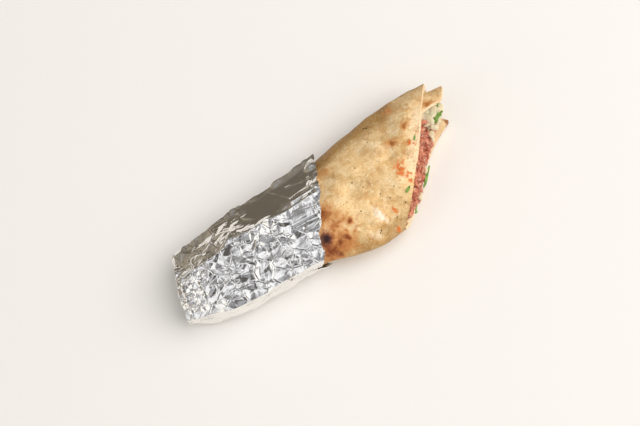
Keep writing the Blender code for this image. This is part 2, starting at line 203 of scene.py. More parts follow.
def ease(low, high, value):
    """0 below low, 1 above high, and a smooth rise between."""
    share = np.clip((value - low) / (high - low), 0, 1)
    return share * share * (3 - 2 * share)


def lumps(points, size, offset=0.0):
    """Smooth noise from -1 to 1 at each point, with lumps of the given size."""
    return np.array([noise.noise(Vector(p) / size + Vector((offset, offset, offset))) for p in points])


def roll_skin(x, angle):
    """Points on a plain tube, for noise that follows the roll's surface."""
    return np.stack([x, 0.025 * np.cos(angle), 0.020 * np.sin(angle)], axis=1)


def spots(along_roll, across, table):
    """The strongest of a table of soft round spots at each place on the roll's upper side."""
    place = np.stack([along_roll, across, 0 * across], axis=1)
    along_roll = along_roll + SPOT_WANDER * lumps(place, SPOT_WANDER_SIZE, 31.0)
    across = across + SPOT_WANDER * lumps(place, SPOT_WANDER_SIZE, 37.0)
    field = np.zeros(len(along_roll))
    for x, y, radius, strength in table:
        away = np.hypot(along_roll - x, across - y) / radius
        field = np.maximum(field, strength * np.exp(-SPOT_FADE * away**2))
    return field


def envelope(x, angle, depth):
    """Points at a depth below the outside of the roll. The three arguments are arrays of one length."""
    under = np.maximum(along(UNDERSIDE, x), 0)
    height = along(HEIGHT, x) - under
    middle = under + WIDEST_AT * height
    across, rise = np.cos(angle), np.sin(angle)
    top = (1 - WIDEST_AT) * height - depth
    bottom = WIDEST_AT * height * BELLY - depth
    y = along(SHIFT, x) + (along(HALF_WIDTH, x) - depth) * across
    z = middle + np.where(rise > 0, top * np.abs(rise) ** TOP_FULLNESS, -bottom * np.abs(rise))
    return np.stack([x, y, np.maximum(z, under + depth)], axis=1)


def bread_relief(x, angle):
    """How far the bread's blisters, dents and lumps stand out of its smooth section."""
    place = envelope(x, angle, np.zeros(len(x)))
    bare = ease(FOIL_MOUTH - 0.006, FOIL_MOUTH + 0.010, x)
    free = ease(-0.35, 0.25, np.sin(angle))
    skin = roll_skin(x, angle)
    relief = sum(height * lumps(skin, size, offset) for height, size, offset in RELIEF)
    for spot_x, spot_y, radius, depth in DENTS:
        away = np.hypot(x - spot_x, place[:, 1] - spot_y) / radius
        relief -= depth * np.exp(-(away**2)) * (np.sin(angle) > 0)
    relief += BLISTER_RISE * spots(x, place[:, 1], BLISTERS) * (np.sin(angle) > 0)
    return relief * free * (FOIL_PRESS + (1 - FOIL_PRESS) * bare)


def upper_cut(y):
    """How far along the roll the upper edge of the cut lies, at y across it."""
    bulge = np.where(y < 0, CUT_BULGE_NEAR, CUT_BULGE_FAR)
    return CUT_MIDDLE + CUT_SLOPE * y - bulge * (y / HALF_CUT) ** 2


def lip(y):
    """How far the lower edge of the cut stands out past the upper one."""
    spread = np.where(y < LIP_PLACE, LIP_NEAR_SPREAD, LIP_FAR_SPREAD)
    return LIP_REACH * np.exp(-(np.abs((y - LIP_PLACE) / spread) ** LIP_POINT))


def bread_end(angle, depth):
    """Where along the roll the sheet ends, at each angle and depth of its spiral."""
    near_cut = envelope(np.full(len(angle), CUT_MIDDLE), angle, depth)
    y, z = near_cut[:, 1], near_cut[:, 2]
    lower = 1 - ease(0.15, 0.62, z / along(HEIGHT, np.array([CUT_MIDDLE])))
    layer = depth / LAYER_PITCH
    second_layer = ease(0.4, 0.6, layer) * (1 - ease(1.3, 1.5, layer))
    tongue = ease(0, TONGUE_SIDE, TONGUE_HALF - np.abs(y - TONGUE_PLACE)) * (np.sin(angle) > 0)
    ragged = 0.00030 * lumps(roll_skin(2 * depth, angle), 0.0035, 2.0)
    ragged = ragged + 0.00012 * lumps(roll_skin(depth, angle), 0.0011)
    return upper_cut(y) + lip(y) * lower + TONGUE_REACH * tongue * second_layer + ragged


def grid_faces(rows, columns, first=0, wrap=False, flip=False):
    """Quads of a grid of points numbered row by row. With wrap, the last column meets the first."""
    column = np.arange(columns if wrap else columns - 1)
    after = (column + 1) % columns
    row = np.arange(rows - 1)[:, None] * columns
    above = row + columns
    quads = np.stack(np.broadcast_arrays(row + column, row + after, above + after, above + column), -1)
    quads = first + quads.reshape(-1, 4)
    return [tuple(quad) for quad in (quads[:, ::-1] if flip else quads)]


def sheet_faces(rows, columns):
    """Faces of a thin closed sheet: its two sides, whose points follow each other, and its rim."""
    count = rows * columns
    sides = grid_faces(rows, columns) + grid_faces(rows, columns, first=count, flip=True)
    edge = list(range(columns)) + [row * columns + columns - 1 for row in range(1, rows)]
    edge += [count - 1 - step for step in range(1, columns)]
    edge += [row * columns for row in range(rows - 2, 0, -1)]
    rim = [(here, here + count, there + count, there) for here, there in zip(edge, edge[1:] + edge[:1])]
    return sides, rim


def piece(name, points, faces, materials, sharp=60, attributes=None):
    """A smooth-shaded mesh object from points on the roll, put where the roll lies in the frame."""
    mesh = bpy.data.meshes.new(name)
    placed = np.asarray(points, dtype=float) - (*ROLL_MIDDLE, 0)
    mesh.from_pydata(placed.tolist(), [], faces)
    for attribute, values in (attributes or {}).items():
        layer = mesh.attributes.new(attribute, "FLOAT", "POINT")
        layer.data.foreach_set("value", np.asarray(values, dtype=np.float32))
    for material in materials:
        mesh.materials.append(material)
    mesh.shade_smooth()
    mesh.set_sharp_from_angle(angle=math.radians(sharp))
    made = bpy.data.objects.new(name, mesh)
    bpy.context.scene.collection.objects.link(made)
    return made


def face_outwards(made):
    """Turn every face of a closed mesh to point out of it."""
    closed = bmesh.new()
    closed.from_mesh(made.data)
    bmesh.ops.recalc_face_normals(closed, faces=closed.faces)
    closed.to_mesh(made.data)
    closed.free()


class Wiring:
    """A node tree under construction: each call adds a node, wires its inputs and returns its output."""

    def __init__(self, tree, shader=None):
        self.tree = tree
        self.shader = tree.nodes[shader] if shader else None

    def add(self, kind, output=0, inputs=None, **settings):
        made = self.tree.nodes.new(kind)
        for setting, value in settings.items():
            setattr(made, setting, value)
        for socket, value in (inputs or {}).items():
            self.join(made.inputs[socket], value)
        return made.outputs[output]

    def join(self, socket, value):
        if isinstance(value, bpy.types.NodeSocket):
            self.tree.links.new(value, socket)
        else:
            socket.default_value = value

    def place(self):
        return self.add("ShaderNodeTexCoord", "Object")

    def attribute(self, name):
        return self.add("ShaderNodeAttribute", "Fac", attribute_name=name)

    def noise(self, where, size, detail=3.0, roughness=0.55, distortion=0.0):
        """Noise from 0 to 1 with features of about the given size in metres."""
        inputs = {"Vector": where, "Scale": 1 / size, "Detail": detail}
        inputs |= {"Roughness": roughness, "Distortion": distortion}
        return self.add("ShaderNodeTexNoise", "Fac", inputs)

    def cells(self, where, size, feature="F1"):
        """Distances in cells of about the given size in metres, from their middles or their edges."""
        inputs = {"Vector": where, "Scale": 1 / size}
        return self.add("ShaderNodeTexVoronoi", "Distance", inputs, feature=feature)

    def rise(self, value, low, high, start=0.0, end=1.0):
        """value carried from low..high to start..end, held beyond them."""
        inputs = {"Value": value, "From Min": low, "From Max": high, "To Min": start, "To Max": end}
        return self.add("ShaderNodeMapRange", "Result", inputs)

    def reckon(self, operation, first, second):
        return self.add("ShaderNodeMath", 0, {0: first, 1: second}, operation=operation)

    def plus(self, first, second):
        return self.reckon("ADD", first, second)

    def minus(self, first, second):
        return self.reckon("SUBTRACT", first, second)

    def times(self, first, second):
        return self.reckon("MULTIPLY", first, second)

    def blend(self, share, first, second, kind="MIX"):
        """The first colour with a share of the second laid over it. Each is an (r, g, b) or an output."""
        made = self.tree.nodes.new("ShaderNodeMix")
        made.data_type = "RGBA"
        made.blend_type = kind
        self.join(made.inputs[0], share)
        for socket, colour in ((made.inputs[6], first), (made.inputs[7], second)):
            self.join(socket, (*colour, 1) if isinstance(colour, tuple) else colour)
        return made.outputs[2]

    def lay(self, under, colour, value, low, high, start=0.0, end=1.0):
        """A colour laid over another as value goes from low to high, from a share of start to end."""
        return self.blend(self.rise(value, low, high, start, end), under, colour)

    def bump(self, height, distance, strength=1.0, normal=None):
        inputs = {"Height": height, "Distance": distance, "Strength": strength}
        if normal is not None:
            inputs["Normal"] = normal
        return self.add("ShaderNodeBump", 0, inputs)

    def set(self, **sockets):
        for socket, value in sockets.items():
            self.join(self.shader.inputs[socket.replace("_", " ")], value)


class Finish(Wiring):
    """A material under construction."""

    def __init__(self, name):
        self.material = bpy.data.materials.new(name)
        self.material.use_nodes = True
        super().__init__(self.material.node_tree, "Principled BSDF")


DOUGH = (0.89, 0.665, 0.370)
FRIED_DOUGH = (0.775, 0.525, 0.245)
BROWNED_DOUGH = (0.59, 0.365, 0.140)
FLOURY_DOUGH = (0.94, 0.76, 0.50)
CREAM_AND_HIGHLIGHT = (0.97, 0.86, 0.64)
PAINTED_SHEEN = (1.0, 0.93, 0.76)
OIL_AND_SHADE_TINT = (0.45, 0.34, 0.15)  # the tints multiply what lies under them; one is oil with painted shade, one cream with painted highlight
CREAM_AND_HIGHLIGHT_TINT = (1.36, 1.26, 1.16)
FRECKLE = (0.52, 0.275, 0.095)
BROWN_GRIT = (0.60, 0.345, 0.135)
PALE_GRIT = (0.98, 0.82, 0.57)
CRISP_GRIT = (0.80, 0.38, 0.14)
RUST = (0.72, 0.340, 0.105)
DARK_RUST = (0.50, 0.165, 0.035)
TOASTED = (0.215, 0.045, 0.008)
SCORCHED = (0.27, 0.070, 0.030)
CHARRED = (0.035, 0.010, 0.012)
SAUCE = (0.70, 0.170, 0.026)
SPECK = (0.016, 0.007, 0.003)
INNER_DOUGH = (0.92, 0.72, 0.46)
INNER_TAN = (0.84, 0.58, 0.30)
INNER_TOAST = (0.34, 0.13, 0.05)


def griddled_bread():
    """The fried skin: cream to browned dough with freckles, blisters, char, oil and sauce stains; painted
    shade on its sides and valleys, and painted highlights on its top near the cut and on one sheen.
    """
    finish = Finish("griddled_bread")
    where = finish.place()
    broad = finish.noise(where, 0.016, 3.0, 0.6)
    mottle = finish.noise(where, 0.0055, 5.0, 0.62, 0.6)
    fine = finish.noise(where, 0.0013, 4.0, 0.65)
    warm = finish.plus(finish.times(broad, 0.55), finish.times(mottle, 0.45))
    dough = finish.lay(DOUGH, FRIED_DOUGH, warm, 0.38, 0.52)
    dough = finish.lay(dough, BROWNED_DOUGH, warm, 0.50, 0.64)
    pale = finish.rise(finish.noise(where, 0.0034, 4.0, 0.6, 1.0), 0.54, 0.68, 0.0, 0.8)
    dough = finish.blend(pale, dough, FLOURY_DOUGH)
    # Painted shade with an oily tint: this attribute darkens the roll's far and near sides and its valleys.
    golden_and_shade = finish.rise(finish.plus(finish.attribute("golden_and_shade"), finish.minus(mottle, 0.5)), 0.05, 0.95)
    dough = finish.blend(golden_and_shade, dough, OIL_AND_SHADE_TINT, "MULTIPLY")
    # Painted highlight: this mask lightens the top of the roll near the cut as if lit, and also carries
    # floury spots and a painted sheen.
    creamy_and_highlight = finish.attribute("creamy_and_highlight")
    dough = finish.blend(creamy_and_highlight, dough, CREAM_AND_HIGHLIGHT_TINT, "MULTIPLY")
    dough = finish.lay(dough, CREAM_AND_HIGHLIGHT, creamy_and_highlight, 0.45, 1.0, 0.0, 0.55)
    freckle = finish.rise(finish.noise(where, 0.0021, 3.0, 0.5), 0.58, 0.68, 0.0, 0.50)
    dough = finish.blend(freckle, dough, FRECKLE)
    grit = finish.noise(where, 0.00075, 3.0, 0.7)
    dough = finish.lay(dough, BROWN_GRIT, grit, 0.52, 0.66, 0.0, 0.45)
    dough = finish.lay(dough, PALE_GRIT, grit, 0.34, 0.46, 0.4, 0.0)
    crisp = finish.times(creamy_and_highlight, finish.noise(where, 0.0012, 2.0))
    dough = finish.lay(dough, CRISP_GRIT, crisp, 0.54, 0.64, 0.0, 0.6)
    # Painted sheen: where the pale spots pass 1, the dough turns nearly white as a highlight.
    dough = finish.lay(dough, PAINTED_SHEEN, creamy_and_highlight, 1.0, 1.5, 0.0, 0.85)
    ragged = finish.plus(finish.times(mottle, 0.55), finish.times(fine, 0.45))
    ragged = finish.times(finish.minus(ragged, 0.5), 1.3)
    toast = finish.plus(finish.attribute("toast"), finish.times(ragged, 1.5))
    rust = finish.lay(DARK_RUST, RUST, fine, 0.35, 0.65)
    toasted = finish.lay(dough, rust, toast, 0.10, 0.58, 0.0, 0.95)
    toasted = finish.lay(toasted, TOASTED, toast, 0.50, 0.88, 0.0, 0.95)
    char = finish.plus(finish.attribute("char"), ragged)
    charred = finish.lay(toasted, SCORCHED, char, 0.16, 0.55, 0.0, 0.85)
    charred = finish.lay(charred, CHARRED, char, 0.42, 0.95)
    smears = finish.times(finish.minus(finish.noise(where, 0.0018, 4.0, 0.7), 0.5), 1.7)
    sauce = finish.rise(finish.plus(finish.attribute("sauce"), smears), 0.30, 0.62, 0.0, 0.95)
    stained = finish.blend(sauce, charred, SAUCE)
    speck = finish.rise(finish.cells(where, 0.0056), 0.060, 0.095)
    stained = finish.blend(finish.minus(1.0, speck), stained, SPECK)
    inside = finish.lay(INNER_DOUGH, INNER_TAN, mottle, 0.35, 0.7)
    inside = finish.lay(inside, INNER_TOAST, toast, 0.45, 0.85, 0.0, 0.9)
    colour = finish.blend(finish.attribute("inside"), stained, inside)
    oily = finish.rise(finish.plus(broad, sauce), 0.45, 0.9, 0.56, 0.34)
    height = finish.plus(finish.times(fine, 0.5), finish.times(mottle, 0.9))
    pores = finish.rise(finish.cells(where, 0.0016), 0.0, 0.35)
    relief = finish.bump(pores, 0.00015, 0.45, finish.bump(height, 0.0011, 0.60))
    finish.set(Base_Color=colour, Roughness=oily, Normal=relief, Specular_IOR_Level=0.42)
    finish.set(Subsurface_Weight=0.12, Subsurface_Scale=0.0022, Subsurface_Radius=(1.0, 0.55, 0.28))
    return finish.material


def cut_crumb():
    """The cut edge: pale, slightly open crumb between the two browned skins."""
    finish = Finish("cut_crumb")
    where = finish.place()
    open_crumb = finish.noise(where, 0.0007, 4.0, 0.7)
    colour = finish.lay((0.93, 0.77, 0.53), (0.82, 0.58, 0.33), open_crumb, 0.35, 0.68)
    stain = finish.rise(finish.noise(where, 0.006, 2.0), 0.55, 0.7, 0.0, 0.55)
    colour = finish.blend(stain, colour, (0.80, 0.36, 0.14))
    relief = finish.bump(open_crumb, 0.0005, 0.6)
    finish.set(Base_Color=colour, Roughness=0.6, Normal=relief)
    finish.set(Subsurface_Weight=0.15, Subsurface_Scale=0.002)
    return finish.material


SPIRAL_STEPS = 430
COVERED_STEPS = 8
BARE_STEPS = 100
UNDER_FOIL = 0.0007  # how much deeper the bread is pressed where foil covers it
WANDERING_TOAST = 0.26  # how strongly toasting wanders over the whole skin
spiral = SEAM_ANGLE + np.linspace(0, TURNS * FULL_TURN, SPIRAL_STEPS + 1)
spiral_depth = LAYER_PITCH * (spiral - SEAM_ANGLE) / FULL_TURN
sheet_start = BREAD_START + END_LEAN * np.cos(spiral)
sheet_end = bread_end(spiral, spiral_depth)
covered_shares = np.linspace(0, 1, COVERED_STEPS + 1)[:-1]
row_x = [sheet_start + share * (BARE_FROM - sheet_start) for share in covered_shares]
row_x += [BARE_FROM + share * (sheet_end - BARE_FROM) for share in np.linspace(0, 1, BARE_STEPS + 1)]
outer_face, inner_face = [], []
for x in row_x:
    covered = 1 - ease(FOIL_MOUTH - 0.020, FOIL_MOUTH - 0.008, x)
    sunk = spiral_depth + UNDER_FOIL * covered - bread_relief(x, spiral)
    outer_face.append(envelope(x, spiral, sunk))
    inner_face.append(envelope(x, spiral, sunk + SHEET))
bread_rows, bread_columns = len(row_x), len(spiral)
outer_face, inner_face = np.concatenate(outer_face), np.concatenate(inner_face)
skin_faces, rim_faces = sheet_faces(bread_rows, bread_columns)
all_x, all_y = np.concatenate(row_x), outer_face[:, 1]
upper = np.tile(np.sin(spiral) > 0, bread_rows)
outermost = np.tile(spiral - SEAM_ANGLE < FULL_TURN, bread_rows)
shown = (upper & outermost).astype(float)
second_turn = (upper & ~outermost).astype(float)
wandering = lumps(roll_skin(all_x, np.tile(spiral, bread_rows)), 0.0105, 9.0)
wandering = WANDERING_TOAST * np.clip(wandering * 1.8 - 0.25, 0, 1)
to_end = np.tile(sheet_end, bread_rows) - all_x
rounding = np.tile(np.cos(spiral), bread_rows)
# Painted shade with an oily tint: the far edge and the low near side are darkened as they turn from the
# light, and so is the far upper side short of the tip.
golden_and_shade = np.maximum(ease(0.84, 1.0, rounding), 0.72 * ease(0.60, 0.93, -rounding))
golden_and_shade = np.maximum(golden_and_shade, 1.25 * ease(0.54, 0.89, rounding) * (1 - 0.7 * ease(0.132, 0.150, all_x)))
# Painted shade along the valleys, on thin oily dough.
golden_and_shade = np.maximum(golden_and_shade, 0.72 * spots(all_x, all_y, OILY_SHADED_VALLEYS) * shown)
# Painted highlight: the top of the roll near the cut is made paler, where the light falls on it.
creamy_and_highlight = (1 - ease(0.001, 0.014, to_end)) * (1 - ease(0.35, 0.75, np.abs(rounding - 0.1)))
creamy_and_highlight = np.maximum(creamy_and_highlight, spots(all_x, all_y, PALE_AND_SHEEN_SPOTS) * shown)
tips = 0.9 * ease(0.1605, 0.1645, all_x) * (outer_face[:, 2] < 0.012)
toast = np.maximum(spots(all_x, all_y, BLISTERS) * np.maximum(shown, second_turn), wandering)
toast = np.maximum(toast, tips)
char = spots(all_x, all_y, CHAR_SPOTS) * shown
sauce = spots(all_x, all_y, SAUCE_SPOTS) * np.maximum(shown, second_turn)
none = np.zeros(len(all_x))
flatbread = piece(
    "flatbread",
    np.concatenate([outer_face, inner_face]),
    skin_faces + rim_faces,
    [griddled_bread(), cut_crumb()],
    attributes={
        "golden_and_shade": np.concatenate([golden_and_shade, none]),
        "creamy_and_highlight": np.concatenate([creamy_and_highlight, none]),
        "toast": np.concatenate([toast, tips]),
        "char": np.concatenate([char, none]),
        "sauce": np.concatenate([sauce, none]),
        "inside": np.concatenate([none, none + 1]),
    },
)
flatbread.data.polygons.foreach_set("material_index", [0] * len(skin_faces) + [1] * len(rim_faces))
face_outwards(flatbread)
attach(flatbread, "root")
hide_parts("paratha")

CHAR_FLECKS = (  # along, across, radius
    (0.1264, 0.0263, 0.00060),
    (0.1118, 0.0090, 0.00042),
    (0.1070, 0.0029, 0.00045),
    (0.1107, -0.0018, 0.00038),
    (0.1241, -0.0089, 0.00042),
    (0.1163, -0.0090, 0.00034),
    (0.1181, -0.0220, 0.00044),
    (0.1193, -0.0236, 0.00030),
    (0.1082, -0.0238, 0.00052),
    (0.1073, -0.0246, 0.00040),
)
SMALL_FLECKS = 26
FLECK_CORNERS = 9
FLECK_RINGS = ((1.0, -0.15), (0.75, 0.22))  # reach and lift of each ring, as shares of the radius
FLECK_TOP = 0.30
DOWN = Vector((0, 0, -1))


def charred_crumb():
    """A crumb burnt black on the griddle."""
    finish = Finish("charred_crumb")
    finish.set(Base_Color=(0.022, 0.010, 0.005, 1), Roughness=0.6)
    return finish.material


skin_tree = BVHTree.FromPolygons(outer_face.tolist(), grid_faces(bread_rows, bread_columns))


def on_skin(x, y):
    """The place on top of the flatbread's skin, and the way it faces there."""
    hit, out = skin_tree.ray_cast(Vector((x, y, 0.1)), DOWN)[:2]
    return hit, out if out.z > 0 else -out


random_flecks = np.random.default_rng(5)
flecks = list(CHAR_FLECKS)
for _ in range(SMALL_FLECKS):
    x, y = random_flecks.uniform(0.092, 0.124), random_flecks.uniform(-0.022, 0.022)
    flecks.append((x, y, random_flecks.uniform(0.00012, 0.00026)))
fleck_points, fleck_faces = [], []
for x, y, radius in flecks:
    hit, out = on_skin(x, y)
    aside = out.orthogonal().normalized()
    first = len(fleck_points)
    for reach, lift in FLECK_RINGS:
        for corner in range(FLECK_CORNERS):
            turn = FULL_TURN * corner / FLECK_CORNERS
            reached = radius * reach * random_flecks.uniform(0.7, 1.2)
            level = 1.25 * math.cos(turn) * aside + 0.8 * math.sin(turn) * out.cross(aside)
            fleck_points.append(hit + reached * level + lift * radius * out)
    fleck_points.append(hit + FLECK_TOP * radius * out)
    for here in range(FLECK_CORNERS):
        there = (here + 1) % FLECK_CORNERS
        upper_here, upper_there = first + FLECK_CORNERS + here, first + FLECK_CORNERS + there
        fleck_faces.append((first + here, first + there, upper_there, upper_here))
        fleck_faces.append((upper_here, upper_there, len(fleck_points) - 1))
    fleck_faces.append(tuple(first + corner for corner in reversed(range(FLECK_CORNERS))))
char_flecks = piece("char_flecks", fleck_points, fleck_faces, [charred_crumb()])
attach(char_flecks, "root")


# ----------------------------------------------------------------------------
# Beef: minced beef, fried and packed along the near side of the roll. At the cut its crumbs stand
# proud of each other, moist and pink-brown, with dark gaps between them and shade painted into their
# hollows.
# ----------------------------------------------------------------------------
FILLING_CLEARANCE = 0.0004
FILLING_DEPTH = LAYER_PITCH * TURNS + SHEET + FILLING_CLEARANCE
FILLING_START = 0.0200
SPLIT_ANGLE = math.radians(60)
SPLIT_BOW = 0.0016
FACE_BULGE = 0.0019
FILLING_SET_BACK = 0.0006
CORE_ARC = 96
CORE_SPLIT = 30
CORE_STEPS = 40
CORE_FACE_RINGS = 18
CRUMB_DENSITY = 4e6  # a square metre, before the spacing thins them


def face_place(y, z):
    """How far along the roll the cut face of the filling lies."""
    lower = 1 - ease(0.15, 0.75, z / along(HEIGHT, np.array([CUT_MIDDLE])))
    return upper_cut(y) - FILLING_SET_BACK + 0.45 * lip(y) * lower


def filling_core(name, near, material, roughness):
    """One side of the filling with a lumpy cut face, marked by the attribute cut_face."""
    arc = np.linspace(SPLIT_ANGLE, FULL_TURN - SPLIT_ANGLE, CORE_ARC)
    if not near:
        arc = np.linspace(-SPLIT_ANGLE, SPLIT_ANGLE, CORE_ARC)
    depths = np.full(CORE_ARC, FILLING_DEPTH)
    shares = np.linspace(0, 1, CORE_SPLIT + 2)[1:-1, None]
    bow = np.array([[0, SPLIT_BOW, 0]]) * np.sin(math.pi * shares)
    aside = np.array([0, -0.5 if near else 0.5, 0]) * FILLING_CLEARANCE

    def section(x_of, inner):
        flat = envelope(np.full(CORE_ARC, CUT_MIDDLE), arc, depths)
        skin = envelope(x_of(flat[:, 1], flat[:, 2]), arc, depths)
        split = skin[-1] + shares * (skin[0] - skin[-1]) + bow
        ring = np.concatenate([skin, split]) + aside
        return ring.mean(axis=0) + inner * (ring - ring.mean(axis=0))

    rings = [
        section(lambda y, z, share=share: FILLING_START + share * (face_place(y, z) - FILLING_START), 1)
        for share in np.linspace(0, 1, CORE_STEPS + 1)
    ]
    for number in range(1, CORE_FACE_RINGS):
        inner = 1 - number / CORE_FACE_RINGS
        ring = section(face_place, inner)
        ring[:, 0] += FACE_BULGE * (1 - inner**2) + roughness * lumps(ring, 0.0024, offset=5.0)
        rings.append(ring)
    points = np.concatenate([*rings, [rings[-1].mean(axis=0)], [rings[0].mean(axis=0)]])
    size = CORE_ARC + CORE_SPLIT
    last = (len(rings) - 1) * size
    step = np.arange(size)
    after = (step + 1) % size
    faces = grid_faces(len(rings), size, wrap=True)
    faces += [(last + here, last + there, len(points) - 2) for here, there in zip(step, after)]
    faces += [(there, here, len(points) - 1) for here, there in zip(step, after)]
    at_face = np.zeros(len(points))
    at_face[CORE_STEPS * size:len(points) - 1] = 1
    core = piece(name, points, faces, [material], attributes={"cut_face": at_face})
    face_outwards(core)
    return core


def crumb_tree():
    """Geometry nodes: rough balls scattered over the cut face, each stretched, turned and lumpy."""
    tree = bpy.data.node_groups.new("crumbs_on_the_cut", "GeometryNodeTree")
    for label, kind in (
        ("Geometry", "Geometry"),
        ("Spacing", "Float"),
        ("Radius", "Float"),
        ("Smallest", "Vector"),
        ("Largest", "Vector"),
        ("Lumpiness", "Float"),
        ("Lump Size", "Float"),
        ("Facets", "Int"),
        ("Seed", "Int"),
        ("Material", "Material"),
    ):
        tree.interface.new_socket(label, in_out="INPUT", socket_type="NodeSocket" + kind)
    tree.interface.new_socket("Geometry", in_out="OUTPUT", socket_type="NodeSocketGeometry")
    wiring = Wiring(tree)
    given = tree.nodes.new("NodeGroupInput").outputs
    cut_face = wiring.add(
        "GeometryNodeInputNamedAttribute", "Attribute", {"Name": "cut_face"}, data_type="FLOAT"
    )
    places = wiring.add("GeometryNodeDistributePointsOnFaces", "Points", {
        "Mesh": given["Geometry"],
        "Selection": wiring.reckon("GREATER_THAN", cut_face, 0.5),
        "Distance Min": given["Spacing"],
        "Density Max": CRUMB_DENSITY,
        "Seed": given["Seed"],
    }, distribute_method="POISSON")
    ball = wiring.add("GeometryNodeMeshIcoSphere", "Mesh", {
        "Radius": given["Radius"],
        "Subdivisions": given["Facets"],
    })
    stretch = wiring.add("FunctionNodeRandomValue", 0, {
        0: given["Smallest"],
        1: given["Largest"],
        "Seed": given["Seed"],
    }, data_type="FLOAT_VECTOR")
    turn = wiring.add("FunctionNodeRandomValue", 0, {1: (FULL_TURN,) * 3}, data_type="FLOAT_VECTOR")
    balls = wiring.add("GeometryNodeInstanceOnPoints", "Instances", {
        "Points": places,
        "Instance": ball,
        "Scale": stretch,
        "Rotation": turn,
    })
    balls = wiring.add("GeometryNodeRealizeInstances", "Geometry", {"Geometry": balls})
    scale = wiring.reckon("DIVIDE", 1.0, given["Lump Size"])
    lump = wiring.minus(wiring.add("ShaderNodeTexNoise", "Fac", {"Scale": scale, "Detail": 2.0}), 0.5)
    outward = wiring.add("ShaderNodeVectorMath", 0, {
        0: wiring.add("GeometryNodeInputNormal", "Normal"),
        "Scale": wiring.times(lump, given["Lumpiness"]),
    }, operation="SCALE")
    crumbs = wiring.add("GeometryNodeSetPosition", "Geometry", {"Geometry": balls, "Offset": outward})
    crumbs = wiring.add("GeometryNodeSetShadeSmooth", 0, {0: crumbs})
    crumbs = wiring.add("GeometryNodeSetMaterial", "Geometry", {
        "Geometry": crumbs,
        "Material": given["Material"],
    })
    wiring.join(tree.nodes.new("NodeGroupOutput").inputs["Geometry"], crumbs)
    return tree


CRUMB_TREE = crumb_tree()


def scattered(name, base, settings):
    """The crumbs that the tree lays on the base's cut face, as a plain mesh of their own."""
    modifier = base.modifiers.new("crumbs", "NODES")
    modifier.node_group = CRUMB_TREE
    for socket in CRUMB_TREE.interface.items_tree:
        if socket.in_out == "INPUT" and socket.name in settings:
            modifier[socket.identifier] = settings[socket.name]
    bpy.context.view_layer.update()
    evaluated = base.evaluated_get(bpy.context.evaluated_depsgraph_get())
    mesh = bpy.data.meshes.new_from_object(evaluated)
    base.modifiers.remove(modifier)
    mesh.name = name
    made = bpy.data.objects.new(name, mesh)
    bpy.context.scene.collection.objects.link(made)
    return made


BROWN_BEEF = (0.38, 0.095, 0.052)
PINK_BEEF = (0.72, 0.285, 0.170)
RED_BEEF = (0.55, 0.075, 0.040)
FAT = (0.88, 0.60, 0.42)
SHADED_HOLLOWS = (0.12, 0.022, 0.014)


def fried_beef():
    """Moist minced beef: pink-brown, with painted shade in its hollows, pale fat and a wet shine."""
    finish = Finish("fried_beef")
    where = finish.place()
    lump = finish.noise(where, 0.0034, 3.0, 0.6)
    grain = finish.noise(where, 0.0009, 4.0, 0.7)
    colour = finish.lay(BROWN_BEEF, PINK_BEEF, lump, 0.40, 0.58)
    fat = finish.rise(finish.noise(where, 0.0026, 4.0, 0.6, 1.5), 0.55, 0.64, 0.0, 0.80)
    colour = finish.blend(fat, colour, FAT)
    # Painted shade: the low places of the grain bump are darkened nearly to black.
    colour = finish.lay(colour, SHADED_HOLLOWS, grain, 0.34, 0.45, 0.80, 0.0)
    red = finish.rise(finish.noise(where, 0.0045, 2.0), 0.55, 0.66, 0.0, 0.6)
    colour = finish.blend(red, colour, RED_BEEF)
    relief = finish.bump(grain, 0.0007, 0.8)
    finish.set(Base_Color=colour, Roughness=finish.rise(lump, 0.3, 0.7, 0.28, 0.48), Normal=relief)
    finish.set(Subsurface_Weight=0.15, Subsurface_Scale=0.0015, Subsurface_Radius=(1.0, 0.35, 0.2))
    return finish.material


beef_finish = fried_beef()
beef_core = filling_core("beef_core", True, beef_finish, 0.0007)
beef_lumps = scattered("beef_lumps", beef_core, {
    "Spacing": 0.0029,
    "Radius": 0.0020,
    "Smallest": (0.55, 0.6, 0.6),
    "Largest": (0.9, 1.1, 1.5),
    "Lumpiness": 0.0030,
    "Lump Size": 0.0020,
    "Facets": 4,
    "Seed": 4,
    "Material": beef_finish,
})
beef_crumbs = scattered("beef_crumbs", beef_core, {
    "Spacing": 0.0034,
    "Radius": 0.0013,
    "Smallest": (0.5, 0.5, 0.6),
    "Largest": (1.0, 1.2, 1.9),
    "Lumpiness": 0.0012,
    "Lump Size": 0.0010,
    "Facets": 3,
    "Seed": 9,
    "Material": beef_finish,
})
for part in (beef_core, beef_lumps, beef_crumbs):
    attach(part, "root")
    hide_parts("beef_filling")


# ----------------------------------------------------------------------------
# Onion: soft cooked onion along the far side of the roll. It was sliced into petals, thin, curved and
# half clear, and they lie across each other in the cut.
# ----------------------------------------------------------------------------
ONION_PETALS = 30
PETAL_LENGTH = 0.0088
PETAL_WIDTH = 0.0060
PETAL_THICK = 0.0008
PETAL_CURL = 0.0008
PETAL_WARP = 0.0007  # how far cooking has warped each slice, and over what length
PETAL_WARP_SIZE = 0.0030
STRAY_SLICES = ((-0.0046, 0.0140), (0.0092, 0.0105), (0.0104, 0.0130), (-0.0150, 0.0120))  # across, up
CLEAR_ONION = (0.86, 0.77, 0.56)
VEINED_ONION = (0.74, 0.62, 0.40)
GREEN_ONION = (0.62, 0.62, 0.38)


